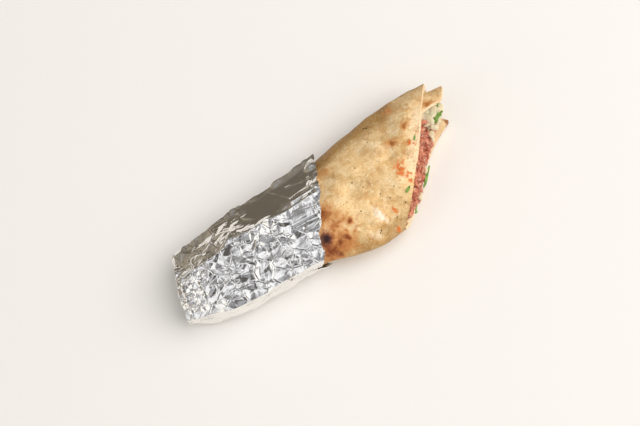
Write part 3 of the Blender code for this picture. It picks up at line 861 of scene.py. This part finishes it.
def cooked_onion():
    """Half clear, wet and pale, with faint veins along each petal."""
    finish = Finish("cooked_onion")
    where = finish.place()
    veins = finish.noise(where, 0.0012, 3.0, 0.6)
    colour = finish.lay(CLEAR_ONION, VEINED_ONION, veins, 0.35, 0.65)
    green = finish.rise(finish.noise(where, 0.006, 2.0), 0.52, 0.66, 0.0, 0.45)
    colour = finish.blend(green, colour, GREEN_ONION)
    relief = finish.bump(veins, 0.0003, 0.4)
    finish.set(Base_Color=colour, Roughness=0.28, Normal=relief, Transmission_Weight=0.08, IOR=1.36)
    finish.set(Subsurface_Weight=0.3, Subsurface_Scale=0.0015, Subsurface_Radius=(1.0, 0.85, 0.6))
    return finish.material


def blade_grid(rows, columns, first=-1.0):
    """Places along and across a blade, as two grids."""
    return np.meshgrid(np.linspace(first, 1, rows), np.linspace(-1, 1, columns), indexing="ij")


def thin_blade(x, y, z, half):
    """Points and faces of a thin closed blade, from grids of its middle's places and its half thickness."""
    top = np.stack([x, y, z + half], -1).reshape(-1, 3)
    low = np.stack([x, y, z - half], -1).reshape(-1, 3)
    sides, rim = sheet_faces(*x.shape)
    return np.concatenate([top, low]), [tuple(reversed(face)) for face in sides + rim]


def petal(place, turn, length, width, curl):
    """Points and faces of one curved slice of onion."""
    long, wide = blade_grid(13, 7)
    taper = np.sqrt(np.clip(1 - 0.92 * long**2, 0, 1))
    z = curl * (1 - long**2) + 0.35 * curl * (1 - wide**2)
    half = 0.5 * PETAL_THICK * np.sqrt(np.clip(1 - 0.8 * wide**2, 0, 1)) * (0.4 + 0.6 * taper)
    points, faces = thin_blade(0.5 * length * long, 0.5 * width * wide * taper, z, half)
    points = points @ np.array(turn.to_matrix()).T + place
    warp = np.stack([lumps(points, PETAL_WARP_SIZE, offset) for offset in (41.0, 43.0, 47.0)], -1)
    return points + PETAL_WARP * warp, faces


def at_cut(y, z, beyond):
    """The place that lies beyond the cut face by the given distance, at y across and z up."""
    return float(face_place(np.array([y]), np.array([z]))[0]) + beyond, y, z


onion_finish = cooked_onion()
onion_core = filling_core("onion_core", False, onion_finish, 0.0009)
random_petals = np.random.default_rng(11)
petals = []
for number in range(ONION_PETALS):
    share = number / ONION_PETALS
    y = 0.0135 + 0.0120 * share + random_petals.uniform(-0.0006, 0.0006)
    z = random_petals.uniform(0.0085, 0.0232 - 0.45 * abs(y - 0.0195))
    place = at_cut(y, z, random_petals.uniform(0.0006, 0.0074 - 0.0012 * share))
    turn = Matrix.Rotation(random_petals.uniform(0.3, 2.6), 3, "Z")
    turn = turn @ Matrix.Rotation(random_petals.uniform(-0.1, 0.9), 3, "Y")
    turn = turn @ Matrix.Rotation(random_petals.uniform(-0.7, 0.7), 3, "X")
    length = PETAL_LENGTH * random_petals.uniform(0.45, 1.0)
    width = PETAL_WIDTH * random_petals.uniform(0.7, 1.1)
    petals.append(petal(place, turn.to_quaternion(), length, width, PETAL_CURL))
for y, z in STRAY_SLICES:
    turn = Matrix.Rotation(1.2, 3, "Z").to_quaternion()
    petals.append(petal(at_cut(y, z, 0.0034), turn, 0.0042, 0.0030, 0.0006))
petal_points, petal_faces = [], []
for points, faces in petals:
    first = sum(len(block) for block in petal_points)
    petal_points.append(points)
    petal_faces += [tuple(first + corner for corner in face) for face in faces]
onion_petals = piece("onion_petals", np.concatenate(petal_points), petal_faces, [onion_finish])
for part in (onion_core, onion_petals):
    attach(part, "root")
    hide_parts("onion_filling")


# ----------------------------------------------------------------------------
# Herbs: coriander leaf and stem, laid in raw with the filling. A torn leaf shows at each end of the
# cut and a stem lies along the lower layer.
# ----------------------------------------------------------------------------
LEAF_THICK = 0.0003
DARK_LEAF = (0.075, 0.20, 0.020)
BRIGHT_LEAF = (0.24, 0.42, 0.075)
LEAF_VEIN = (0.38, 0.52, 0.16)


def fresh_leaf():
    """Bright raw leaf: green with paler veins and a waxy shine."""
    finish = Finish("fresh_leaf")
    where = finish.place()
    tone = finish.noise(where, 0.0022, 3.0)
    colour = finish.lay(DARK_LEAF, BRIGHT_LEAF, tone, 0.35, 0.65)
    veins = finish.rise(finish.cells(where, 0.0016, "DISTANCE_TO_EDGE"), 0.0, 0.08, 0.5, 0.0)
    colour = finish.blend(veins, colour, LEAF_VEIN)
    finish.set(Base_Color=colour, Roughness=0.36, Normal=finish.bump(tone, 0.0004, 0.5))
    finish.set(Subsurface_Weight=0.2, Subsurface_Scale=0.001)
    return finish.material


def leaf(name, node, place, length, width, turn, wave, lobes):
    """A wavy blade of leaf, closed. With a node, it stands for that herb in the frame."""
    long, wide = blade_grid(41, 13, first=0)
    lobed = 1 - lobes * (0.5 + 0.5 * np.cos(7 * math.pi * long))
    y = 0.5 * width * wide * np.sin(math.pi * (0.06 + 0.88 * long)) ** 0.8 * lobed
    z = wave * np.sin(2.2 * math.pi * long) + 0.30 * np.abs(y) + 0.3 * wave * np.sin(5 * wide + 6 * long)
    points, faces = thin_blade((long - 0.5) * length, y, z, LEAF_THICK / 2)
    turned = Matrix.Rotation(turn[2], 3, "Z") @ Matrix.Rotation(turn[1], 3, "Y")
    turned = turned @ Matrix.Rotation(turn[0], 3, "X")
    made = piece(name, points @ np.array(turned).T + place, faces, [leaf_finish])
    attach(made, "root")
    if node:
        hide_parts(node)


def stuck_on(x, y):
    """The place on top of the flatbread's skin where a scrap of leaf has stuck."""
    return (x, y, on_skin(x, y)[0].z + LEAF_THICK / 2)


FAR_LEAF_PLACE = (0.1604, 0.0152, 0.0176)
SPRIG_PLACE = (0.1640, 0.0216, 0.0186)
STEM_PLACE = (0.1412, -0.0062, 0.0080)
NEAR_LEAF_PLACE = (0.1281, -0.0208, 0.0150)
HERBS = (
    # name, node, place, length, width, turn, wave, depth of the lobes
    ("coriander_far", "herb_leaf_far", FAR_LEAF_PLACE, 0.0078, 0.0030, (0.5, -0.20, 0.40), 0.0005, 0.45),
    ("coriander_stem", "herb_stem", STEM_PLACE, 0.0118, 0.0018, (0.8, 0.0, 0.82), 0.0003, 0.0),
    ("coriander_fleck", None, stuck_on(0.1293, -0.0136), 0.0038, 0.0017, (0.25, -0.12, 0.55), 0.0002, 0.2),
    ("coriander_crumb", None, stuck_on(0.1445, 0.0070), 0.0030, 0.0008, (0.1, -0.08, 0.95), 0.0001, 0.0),
    ("coriander_sprig", None, SPRIG_PLACE, 0.0048, 0.0012, (0.4, -0.20, 0.96), 0.0004, 0.3),
    ("coriander_near", "herb_leaf_near", NEAR_LEAF_PLACE, 0.0044, 0.0026, (1.2, 0.2, 0.95), 0.0003, 0.3),
)
leaf_finish = fresh_leaf()
for herb in HERBS:
    leaf(*herb)


# ----------------------------------------------------------------------------
# Foil: a square of kitchen foil folded round the closed end and pressed on by hand. It is flat between
# two long ridges on its upper side, creased all over, pleated where the end was tucked in, and torn
# off in a slanting mouth.
# ----------------------------------------------------------------------------
FOIL_START = 0.0060
FOIL_MOUTH_LEAN = 0.0118
FOIL_STAND = 0.0014
PRESSED_IN = 0.6  # the bread stops the foil's inward creases short
CLOSEST = 0.0004  # the nearest that a crease comes to the roll, and how softly it stops there
SOFTNESS = 0.0002
FOIL_CORNERS = (
    # degrees, across, up
    (-24, 0.914, -0.407),
    (12, 0.985, 0.43),
    (77, 0.25, 1.12),
    (150, -0.94, 0.64),
    (204, -0.914, -0.407),
)
FLAP_REACH = 0.0065
FLAP_ANGLE = math.radians(212)
FLAP_HALF_ANGLE = math.radians(17)
FOIL_SHEET = 0.00022
FOIL_COLUMNS = 372
FOIL_ROWS = 216
END_RINGS = 34
END_BULGE = 0.0010
LINING_ROWS = 14
FOIL_GIRTH = 0.140
FOIL_LENGTH = 0.130  # how much of the roll the sheets of facets cover, from a little behind its end
FOIL_BEHIND = 0.015
FOLDS = (  # size of the flat facets, how far their corners stand in or out, patchiness, seed
    (0.0125, 0.00120, 0.0, 31),
    (0.0058, 0.00080, 0.2, 52),
    (0.0030, 0.00038, 0.4, 23),
    (0.0015, 0.00013, 0.7, 24),
)
LONG_CREASES = (  # from and to, each as distance along the roll and degrees round it, height, half width
    (0.0480, 30, 0.0585, 62, 0.00014, 0.0012),
    (0.0690, 22, 0.0765, 56, 0.00012, 0.0011),
    (0.0770, 34, 0.0900, 45, 0.00014, 0.0012),
    (0.0085, 92, 0.0060, 150, 0.00030, 0.0010),
    (0.0120, 84, 0.0128, 144, 0.00036, 0.0009),
    (0.0190, 80, 0.0160, 128, 0.00032, 0.0010),
)
CREASED_EDGE = 13  # degrees between two facets from which their edge stays sharp
CREASE_DRIFT = 0.0007  # how far fine creases stray from straight lines
FINE_CREASES = 0.0098
FINEST_CREASES = 0.0046
FOIL_SHADE = (0.865, 0.846, 0.815)
FOIL_SHINE = (0.935, 0.918, 0.890)


def facet_heights(x, girth, size, seed):
    """Heights from -1 to 1 on a sheet of flat triangles of about the given size, round the girth."""
    draw = np.random.default_rng(seed)
    columns = int(round(FOIL_GIRTH / size))
    rows = int(FOIL_LENGTH / size) + 2
    corners = []
    for row in range(rows):
        for column in range(columns):
            corner_x = -FOIL_BEHIND + (row + 0.5 + draw.uniform(-0.48, 0.48)) * size
            corner_t = (column + 0.5 + draw.uniform(-0.48, 0.48)) * FOIL_GIRTH / columns
            lift = draw.uniform(-1, 1)
            corners.append((corner_x, corner_t, math.copysign(abs(lift) ** 0.7, lift)))
    margin = 2.5 * size
    wrapped = corners + [(a, b + FOIL_GIRTH, c) for a, b, c in corners if b < margin]
    wrapped += [(a, b - FOIL_GIRTH, c) for a, b, c in corners if b > FOIL_GIRTH - margin]
    flat = [Vector((a, b)) for a, b, c in wrapped]
    meshed, _, triangles, sources, _, _ = delaunay_2d_cdt(flat, [], [], 0, 1e-7)
    folded = [Vector((*corner, wrapped[source[0]][2])) for corner, source in zip(meshed, sources)]
    sheet = BVHTree.FromPolygons(folded, triangles)
    heights = np.zeros(len(x))
    for number, (a, b) in enumerate(zip(x, girth)):
        hit = sheet.ray_cast(Vector((a, b, 5)), DOWN)[0]
        heights[number] = hit.z if hit else 0.0
    return heights


def foil_skin(x, angle, stand):
    """Points of the foil's section: the roll's section, stood off and drawn flat between its corners."""
    corners = np.array(FOIL_CORNERS)
    turned = (angle + math.pi / 2) % FULL_TURN - math.pi / 2
    flat = (turned > math.radians(corners[0, 0])) & (turned < math.radians(corners[-1, 0]))
    rise = np.sin(angle)
    round_up = np.where(rise > 0, np.abs(rise) ** TOP_FULLNESS, rise)
    across = np.where(flat, np.interp(turned, np.radians(corners[:, 0]), corners[:, 1]), np.cos(angle))
    up = np.where(flat, np.interp(turned, np.radians(corners[:, 0]), corners[:, 2]), round_up)
    under = np.maximum(along(UNDERSIDE, x), 0)
    height = along(HEIGHT, x) - under
    top = (1 - WIDEST_AT) * height + stand
    bottom = WIDEST_AT * height * BELLY + stand
    y = along(SHIFT, x) + (along(HALF_WIDTH, x) + stand) * across
    z = under + WIDEST_AT * height + np.where(up > 0, top, bottom) * up
    return np.stack([x, y, np.maximum(z, under - stand)], axis=1)


def foil_mouth(angle):
    """How far along the roll the foil's torn edge lies, at each angle round it."""
    away = np.abs((angle - FLAP_ANGLE + math.pi) % FULL_TURN - math.pi)
    flap = FLAP_REACH * np.clip(1 - away / FLAP_HALF_ANGLE, 0, 1)
    ripple = 0.0008 * np.sin(5 * angle + 0.6) + 0.0005 * np.sin(11 * angle) + 0.0003 * np.sin(23 * angle + 1)
    return FOIL_MOUTH + FOIL_MOUTH_LEAN * np.cos(angle - math.radians(20)) + flap + ripple


def smooth_facet(x, angle):
    """1 on the part of the far facet that the hand left smooth, 0 where the foil is crumpled."""
    degrees = np.degrees(angle)
    smooth = ease(12, 24, degrees) * (1 - ease(62, 76, degrees)) * ease(0.047, 0.056, x)
    return smooth * ease(0.002, 0.007, foil_mouth(angle) - x)


def foil_creases(x, angle):
    """How far the creased foil stands in or out of its smooth section."""
    girth = (angle / FULL_TURN) * FOIL_GIRTH
    smooth = smooth_facet(x, angle)
    skin = roll_skin(x, angle)
    crumple = 0.00030 * lumps(skin, 0.0075, 14.0)
    for size, reach, patchiness, seed in FOLDS:
        patches = 1 - patchiness * (1 - ease(-0.25, 0.35, lumps(skin, 0.011, seed)))
        crumple = crumple + reach * patches * facet_heights(x, girth, size, seed)
    folded = 0
    for start_x, start_angle, end_x, end_angle, height, half in LONG_CREASES:
        start = np.array([start_x, start_angle / 360 * FOIL_GIRTH])
        line = np.array([end_x, end_angle / 360 * FOIL_GIRTH]) - start
        from_x, from_girth = x - start[0], girth - start[1]
        share = np.clip((from_x * line[0] + from_girth * line[1]) / (line @ line), 0, 1)
        away = np.hypot(from_x - share * line[0], from_girth - share * line[1])
        folded = np.maximum(folded, height * np.clip(1 - away / half, 0, 1))
    off_floor = ease(-0.97, -0.75, np.sin(angle))
    ends = 1 + 0.5 * (1 - ease(0.004, 0.020, x))
    return (crumple * (1 - 0.84 * smooth) * (0.25 + 0.75 * off_floor) + folded) * ends


def kitchen_foil():
    """Bright rolled aluminium: mirror-like, with fine creases that meet at sharp corners, and tiny dents."""
    finish = Finish("kitchen_foil")
    where = finish.place()
    drift = finish.add("ShaderNodeTexNoise", "Color", {"Vector": where, "Scale": 260.0, "Detail": 2.0})
    drift = finish.add("ShaderNodeVectorMath", 0, {0: drift, 1: (CREASE_DRIFT,) * 3}, operation="MULTIPLY")
    bent = finish.add("ShaderNodeVectorMath", 0, {0: where, 1: drift})
    dents = finish.noise(where, 0.0011, 3.0, 0.6)
    worn = finish.noise(where, 0.006, 3.0)
    colour = finish.blend(worn, FOIL_SHADE, FOIL_SHINE)
    finish.set(Base_Color=colour, Metallic=1.0, Roughness=finish.rise(worn, 0.3, 0.7, 0.06, 0.13))
    lines = finish.rise(finish.cells(bent, FINE_CREASES, "DISTANCE_TO_EDGE"), 0.0, 0.050)
    finer_lines = finish.rise(finish.cells(bent, FINEST_CREASES, "DISTANCE_TO_EDGE"), 0.0, 0.09)
    crumpled = finish.attribute("crumpled")
    patches = finish.rise(finish.noise(where, 0.0120, 2.0), 0.48, 0.62, 0.0, 0.55)
    patches = finish.times(patches, crumpled)
    creased = finish.bump(finer_lines, 0.00018, patches, finish.bump(dents, 0.00020, 0.15))
    creased = finish.bump(lines, 0.00026, finish.rise(crumpled, 0.0, 1.0, 0.0, 0.50), creased)
    facets = finish.cells(bent, FINE_CREASES)
    creased = finish.bump(facets, 0.00190, finish.rise(crumpled, 0.0, 1.0, 0.0, 0.55), creased)
    finish.set(Normal=creased)
    return finish.material


foil_angle = np.linspace(0, FULL_TURN, FOIL_COLUMNS, endpoint=False)
foil_lean = END_LEAN * np.cos(foil_angle)
mouth_x = foil_mouth(foil_angle)
end_x = FOIL_START + foil_lean
foil_reach = mouth_x - FOIL_START - foil_lean
skin_x = np.concatenate([end_x + share * foil_reach for share in np.linspace(1, 0, FOIL_ROWS)])
skin_angle = np.tile(foil_angle, FOIL_ROWS)
creases = foil_creases(skin_x, skin_angle)
creases = np.where(creases < 0, PRESSED_IN * creases, creases)
stand = CLOSEST + SOFTNESS * np.logaddexp(0, (FOIL_STAND + creases - CLOSEST) / SOFTNESS)
outer = foil_skin(skin_x, skin_angle, stand)
outer[:, 2] = np.maximum(outer[:, 2], 0)
rings = list(outer.reshape(FOIL_ROWS, FOIL_COLUMNS, 3))
last_ring = rings[-1]
end_middle = last_ring.mean(axis=0)
gather = end_middle + (0, 0.0024, -0.0022)
for number in range(1, END_RINGS + 1):
    share = number / (END_RINGS + 1)
    close = 1 - share**1.1
    ring = gather + close * (last_ring - gather)
    ring[:, 0] = last_ring[:, 0] * close + end_middle[0] * (1 - close)
    ring[:, 0] -= END_BULGE * math.sin(share * math.pi / 2)
    across_end, up_end = ring[:, 1] + 0.02, ring[:, 2] + 0.05
    tucked = 0.0011 * facet_heights(across_end, up_end, 0.0062, 61)
    tucked += 0.0006 * facet_heights(across_end, up_end, 0.0031, 62)
    twisted = foil_angle + 1.1 * share + 0.35 * np.sin(3 * foil_angle)
    tucked += 0.00050 * np.abs(np.sin(5.5 * twisted)) * (0.4 + share) + 0.00018 * np.sin(29 * twisted)
    ring[:, 0] += tucked * math.sin(share * math.pi) ** 0.5
    rings.append(ring)
outer_rings = len(rings)
for number in range(LINING_ROWS):
    inward = 0.0005 * number + 0.0011 * max(0, number - 4)
    within = np.maximum(stand[:FOIL_COLUMNS] - FOIL_SHEET - 0.05 * inward, 0.0002)
    ring = foil_skin(mouth_x - inward, foil_angle, within)
    ring[:, 2] = np.maximum(ring[:, 2], FOIL_SHEET)
    rings.append(ring)
end_point = rings[outer_rings - 1].mean(axis=0)
foil_points = np.concatenate([*rings, [end_point]])
foil_faces = grid_faces(outer_rings, FOIL_COLUMNS, wrap=True)
lining_first = outer_rings * FOIL_COLUMNS
foil_faces += grid_faces(LINING_ROWS, FOIL_COLUMNS, first=lining_first, wrap=True, flip=True)
last = lining_first - FOIL_COLUMNS
for step in range(FOIL_COLUMNS):
    after = (step + 1) % FOIL_COLUMNS
    foil_faces.append((last + step, last + after, len(foil_points) - 1))
    foil_faces.append((step, lining_first + step, lining_first + after, after))
crumpled = np.ones(len(foil_points))
crumpled[:len(skin_x)] = 1 - smooth_facet(skin_x, skin_angle)
foil = piece(
    "foil_pouch",
    foil_points,
    [tuple(reversed(face)) for face in foil_faces],
    [kitchen_foil()],
    sharp=CREASED_EDGE,
    attributes={"crumpled": crumpled},
)
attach(foil, "root")
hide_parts("foil_wrapper")


# ----------------------------------------------------------------------------
# Studio: a pale floor, one broad soft light from above the cut's near side, and a sky of soft-edged
# bright and dark panels, which the foil mirrors.
# ----------------------------------------------------------------------------
FLOOR_SIZE = 3.0
FLOOR_BELOW = 0.0001
KEY_PLACE = Vector((1.25, -0.55, 1.60))
KEY_SIZE = 2.40
KEY_POWER = 44.0
SKY_PANELS = (
    # direction, width and height in degrees, turn in degrees, colour; a later one covers those before it
    ((-0.55, 0.85, 0.27), 40, 26, 0, (0.37, 0.325, 0.255)),
    (KEY_PLACE, 42, 42, 20, (1.27, 1.25, 1.21)),
    ((0.05, -0.12, 1.0), 38, 22, 25, (1.12, 1.13, 1.17)),
    ((-0.55, 0.10, 1.0), 20, 36, 10, (1.02, 1.03, 1.07)),
    ((0.50, -0.45, 1.0), 24, 32, -30, (1.30, 1.28, 1.24)),
    ((0.26, 0.40, 1.0), 24, 34, 40, (0.07, 0.062, 0.055)),
    ((-0.26, -0.40, 1.0), 34, 20, 15, (0.11, 0.102, 0.095)),
    ((-0.20, 0.22, 1.0), 12, 18, -20, (0.22, 0.21, 0.21)),
    ((-1.0, -0.2, 0.45), 44, 30, 0, (1.3, 1.28, 1.22)),
    ((-0.9, 0.5, 0.22), 26, 20, 0, (1.0, 0.95, 0.88)),
)

floor_finish = Finish("pale_floor")
floor_finish.set(Base_Color=(0.89, 0.870, 0.840, 1), Roughness=0.75)
bpy.ops.mesh.primitive_plane_add(size=FLOOR_SIZE, location=(0, 0, -FLOOR_BELOW))
floor = bpy.context.object
floor.name = "floor"
floor.data.materials.append(floor_finish.material)

key_data = bpy.data.lights.new("key", "AREA")
key_data.size = KEY_SIZE
key_data.energy = KEY_POWER
key_data.color = (1.0, 0.975, 0.94)
key = bpy.data.objects.new("key", key_data)
key.location = KEY_PLACE
key.rotation_euler = (-KEY_PLACE).to_track_quat("-Z", "Y").to_euler()
key.visible_glossy = False  # a panel of the sky is mirrored in its place
bpy.context.scene.collection.objects.link(key)

world = bpy.data.worlds.new("studio")
bpy.context.scene.world = world
world.use_nodes = True
sky = Wiring(world.node_tree, "Background")
look = sky.add("ShaderNodeTexCoord", "Generated")


def facing(direction):
    """How squarely each direction of the sky faces the given one, as a cosine."""
    return sky.add("ShaderNodeVectorMath", "Value", {0: look, 1: direction}, operation="DOT_PRODUCT")


def panel(direction, width, height, turn):
    """1 inside a soft-edged oblong panel of the sky, 0 outside it. Its sizes are in degrees."""
    middle = Vector(direction).normalized()
    flat = middle.cross(Vector((0, 1, 0))).normalized()
    side = Matrix.Rotation(math.radians(turn), 3, middle) @ flat
    ahead = facing(tuple(middle))
    inside = sky.rise(ahead, 0.0, 0.1)
    for axis, size in ((side, width), (middle.cross(side), height)):
        reach = sky.reckon("ABSOLUTE", sky.reckon("DIVIDE", facing(tuple(axis)), ahead), 0.0)
        edge = math.tan(math.radians(size / 2))
        inside = sky.times(inside, sky.rise(reach, 0.45 * edge, 1.35 * edge, 1.0, 0.0))
    return inside


rise_of_sky = facing((0, 0, 1))
far_side = sky.rise(facing((0, 1, 0)), -0.2, 0.35)
low = sky.blend(far_side, (0.50, 0.45, 0.39), (0.150, 0.128, 0.098))
middle = sky.blend(far_side, (0.39, 0.405, 0.44), (0.25, 0.222, 0.185))
glow = sky.lay(low, middle, rise_of_sky, 0.34, 0.66)
glow = sky.lay(glow, (0.46, 0.472, 0.50), rise_of_sky, 0.66, 0.90)
for direction, width, height, turn, colour in SKY_PANELS:
    glow = sky.blend(panel(direction, width, height, turn), glow, colour)
sky.set(Color=glow, Strength=1.0)


# ----------------------------------------------------------------------------
# Camera: above the near side, rolled so that the wrap runs up to the right.
# ----------------------------------------------------------------------------
AIM = Vector((0.0012, -0.0008, 0.0140))
DISTANCE = 0.75
LENS = 84.4
ROLL = math.radians(29)
TOWARDS_CAMERA = Vector((0.02, -0.33, 0.944))

back = TOWARDS_CAMERA.normalized()
along_view = (Vector((1, 0, 0)) - back.x * back).normalized()
across_view = back.cross(along_view)
right = math.cos(ROLL) * along_view - math.sin(ROLL) * across_view
up = math.sin(ROLL) * along_view + math.cos(ROLL) * across_view
camera_data = bpy.data.cameras.new("camera")
camera_data.lens = LENS
camera = bpy.data.objects.new("camera", camera_data)
turned = Matrix((right, up, back)).transposed().to_4x4()
camera.matrix_world = Matrix.Translation(AIM + DISTANCE * back) @ turned
bpy.context.scene.collection.objects.link(camera)
bpy.context.scene.camera = camera
bpy.context.scene.view_settings.view_transform = "Standard"
